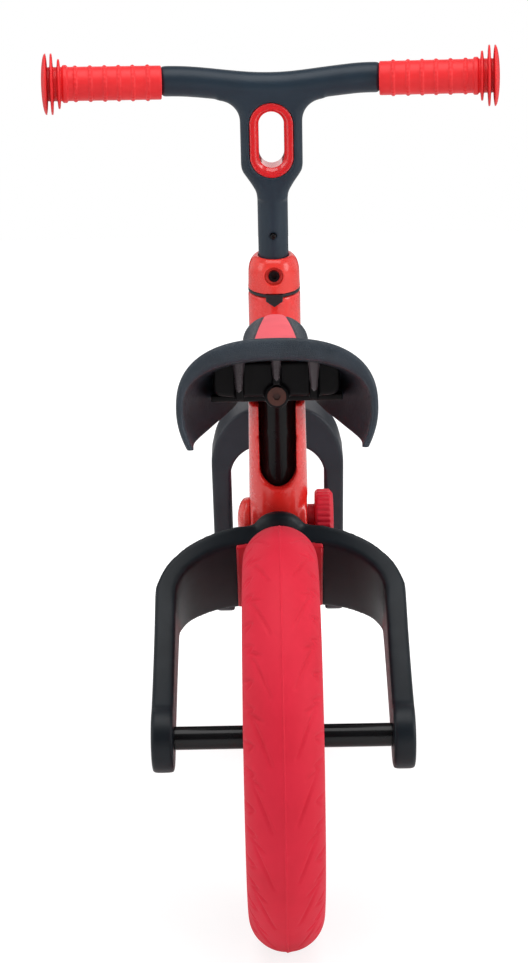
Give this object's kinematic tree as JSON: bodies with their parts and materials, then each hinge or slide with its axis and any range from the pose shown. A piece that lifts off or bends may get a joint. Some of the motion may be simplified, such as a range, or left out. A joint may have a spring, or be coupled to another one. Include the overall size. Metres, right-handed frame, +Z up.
{
  "type": "balance bike",
  "caption": "Child's balance bike: foam-tyred wheels in wide moulded forks, T-bar with ring grips, curved backbone, and a drop-sided saddle on a sliding post.",
  "frame": {"origin": "on the ground, midway between the two axles, in the middle of the bike", "axes": "+Y towards the front wheel, +Z up, +X to the rider's right"},
  "size_m": [0.3912, 0.849, 0.6562],
  "materials": {
    "foam_tyre": "matte moulded foam with a fine skin",
    "wheel_plastic": "satin moulded nylon",
    "steel": "bright zinc plated",
    "black_steel": "glossy black coating",
    "front_fork_plastic": "satin moulded nylon",
    "rear_fork_plastic": "satin moulded nylon",
    "frame_paint": "glossy powder coat",
    "collar_plastic": "semi-gloss moulded plastic",
    "bushing_plastic": "natural acetal",
    "black_plastic": "satin moulded plastic",
    "bar_plastic": "fine-grained moulded plastic",
    "ring_plastic": "glossy moulded plastic",
    "stem_paint": "satin powder coat",
    "grip_rubber": "soft matte rubber",
    "guard_plastic": "satin moulded plastic",
    "knob_plastic": "satin moulded plastic",
    "saddle_skin": "leather-grained moulded skin",
    "saddle_pad": "soft matte foam skin",
    "carrier_plastic": "satin moulded plastic"
  },
  "bodies": {
    "frame": {"head_tube": "frame_paint", "main_beam": "frame_paint", "seat_tube": "frame_paint", "pivot_lug": "frame_paint", "upper_headset_bushing": "bushing_plastic", "lower_headset_bushing": "bushing_plastic", "headset_ring": "black_plastic", "pivot_cap": "collar_plastic"},
    "steering": {"front_fork": "front_fork_plastic", "steerer_tube": "steel", "handlebar_collar": "collar_plastic", "collar_screw": "black_steel", "front_axle": "steel", "front_axle_spacers": "black_steel", "front_axle_bolts": "black_steel"},
    "handlebar": {"t_bar": "bar_plastic", "t_bar_ring": "ring_plastic", "stem_tube": "stem_paint", "left_grip": "grip_rubber", "right_grip": "grip_rubber", "stem_button_spring": "steel"},
    "stem_button": {"stem_button": "steel"},
    "front_wheel": {"front_tyre": "foam_tyre", "front_rim": "wheel_plastic", "front_wheel_bearings": "steel"},
    "rear_fork": {"rear_fork": "rear_fork_plastic", "wheel_guard": "guard_plastic", "guard_screws": "black_steel", "rear_axle": "steel", "rear_axle_spacers": "black_steel", "rear_axle_bolts": "black_steel"},
    "rear_wheel": {"rear_tyre": "foam_tyre", "rear_rim": "wheel_plastic", "rear_wheel_bearings": "steel"},
    "pivot_knob": {"pivot_knob": "knob_plastic", "pivot_bolt": "steel"},
    "saddle": {"saddle_shell": "saddle_skin", "saddle_pad": "saddle_pad", "saddle_carrier": "carrier_plastic", "seat_post": "black_steel", "saddle_bolt": "black_steel"}
  },
  "joints": [
    {"name": "steering_turn", "type": "hinge", "parent": "frame", "child": "steering", "pos_m": [0, 0.24993, 0.1451], "axis": [0, -0.2924, 0.9563], "range_deg": [-40, 40]},
    {"name": "handlebar_height", "type": "slide", "parent": "steering", "child": "handlebar", "axis": [0, -0.2924, 0.9563], "range_m": [0, 0.05]},
    {"name": "stem_button_press", "type": "slide", "parent": "handlebar", "child": "stem_button", "axis": [0, 0.9563, 0.2924], "range_m": [0, 0.0022], "stiffness_N_per_m": 500, "springref_m": -0.003, "deforming": ["stem_button_spring"]},
    {"name": "front_wheel_spin", "type": "hinge", "parent": "steering", "child": "front_wheel", "pos_m": [0, 0.2725, 0.152], "axis": [1, 0, 0], "continuous": true},
    {"name": "rear_fork_swing", "type": "hinge", "parent": "frame", "child": "rear_fork", "pos_m": [0, -0.12236, 0.28608], "axis": [1, 0, 0], "range_deg": [0, 24]},
    {"name": "rear_wheel_spin", "type": "hinge", "parent": "rear_fork", "child": "rear_wheel", "pos_m": [0, -0.2725, 0.152], "axis": [1, 0, 0], "continuous": true},
    {"name": "pivot_knob_turn", "type": "hinge", "parent": "frame", "child": "pivot_knob", "pos_m": [0, -0.12236, 0.28608], "axis": [1, 0, 0], "continuous": true},
    {"name": "saddle_height", "type": "slide", "parent": "frame", "child": "saddle", "axis": [0, -0.342, 0.9397], "range_m": [0, 0.04]}
  ]
}
